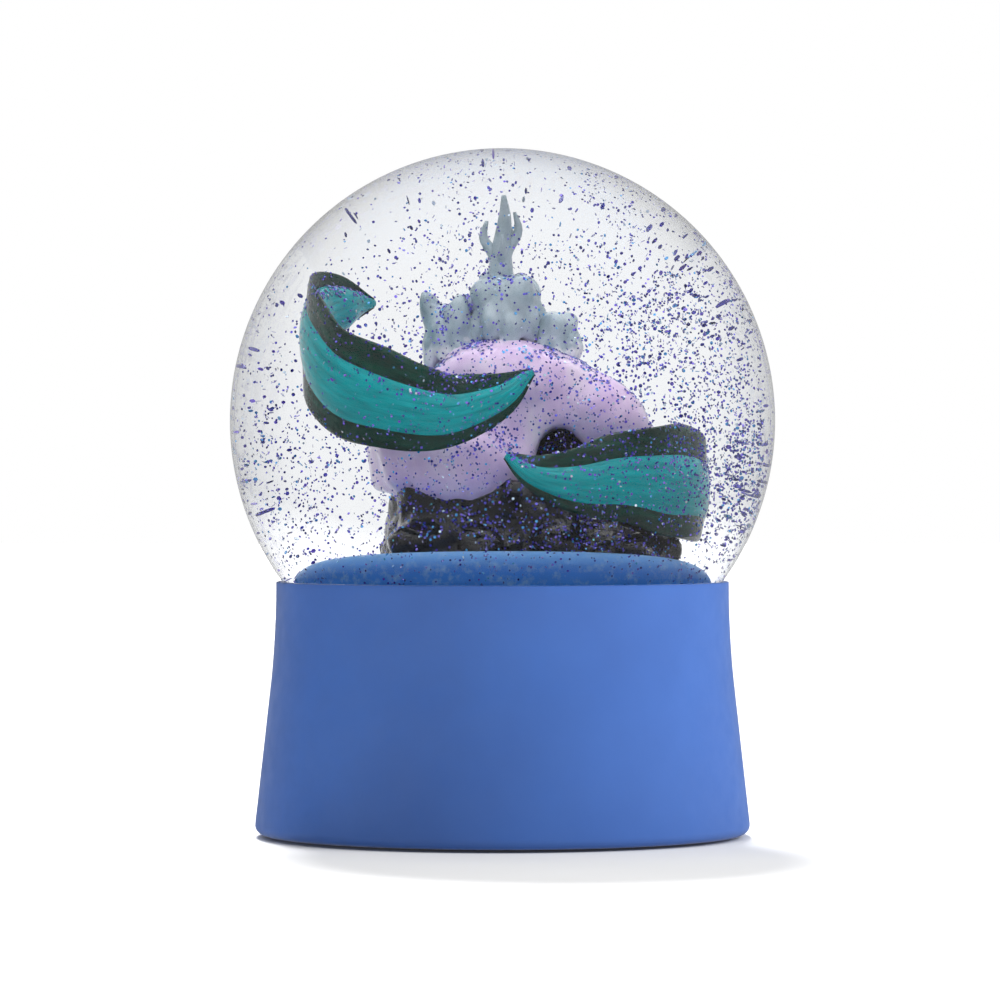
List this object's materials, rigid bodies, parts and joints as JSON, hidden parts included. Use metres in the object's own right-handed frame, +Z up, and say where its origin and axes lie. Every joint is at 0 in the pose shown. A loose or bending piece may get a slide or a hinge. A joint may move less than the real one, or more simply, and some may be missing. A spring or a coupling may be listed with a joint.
{
  "type": "snow globe",
  "caption": "Water globe on a flared round resin base: a clear glass ball with blue glitter round a small undersea scene of rock, boulder, coral and curling kelp.",
  "frame": {"origin": "centre of the foam pad's underside, where the globe stands", "axes": "+Z up along the ball's and the base's axis, +X to the right as the scene is seen from its front, and the scene's front faces -Y"},
  "size_m": [0.065, 0.065, 0.082],
  "materials": {
    "base_paint": "satin",
    "epoxy": "gloss",
    "plate_plastic": "matte",
    "foam": "matte",
    "globe_glass": "polished",
    "silicone": "satin",
    "stopper_rubber": "matte",
    "plinth_paint": "satin",
    "rock_lacquer": "gloss",
    "pin_steel": "satin",
    "boulder_paint": "satin",
    "coral_paint": "satin",
    "kelp_lacquer": "gloss",
    "water": "polished",
    "glitter_film": "polished"
  },
  "bodies": {
    "root": {"base_shell": "base_paint", "glue_ring": "epoxy", "bottom_plate": "plate_plastic", "foam_pad": "foam", "glass_globe": "globe_glass", "seal_bead": "silicone", "rubber_stopper": "stopper_rubber", "plinth": "plinth_paint", "rock": "rock_lacquer", "rock_pins": "pin_steel", "boulder": "boulder_paint", "coral_crown": "coral_paint", "coral_left": "coral_paint", "coral_right": "coral_paint", "coral_plume": "coral_paint", "kelp_left": "kelp_lacquer", "kelp_left_stalk": "kelp_lacquer", "kelp_right": "kelp_lacquer", "kelp_right_stalk": "kelp_lacquer", "liquid_still": "water", "glitter_settled": "glitter_film"},
    "swirl": {"liquid_swirl": "water", "glitter_swirl": "glitter_film"},
    "falling_glitter": {"glitter_sinking": "glitter_film"}
  },
  "joints": [
    {"name": "glitter_turn", "type": "hinge", "parent": "root", "child": "swirl", "pos_m": [0, 0, 0.0495], "axis": [0, 0, 1], "continuous": true},
    {"name": "glitter_fall", "type": "slide", "parent": "swirl", "child": "falling_glitter", "axis": [0, 0, -1], "range_m": [0, 0.005]}
  ]
}
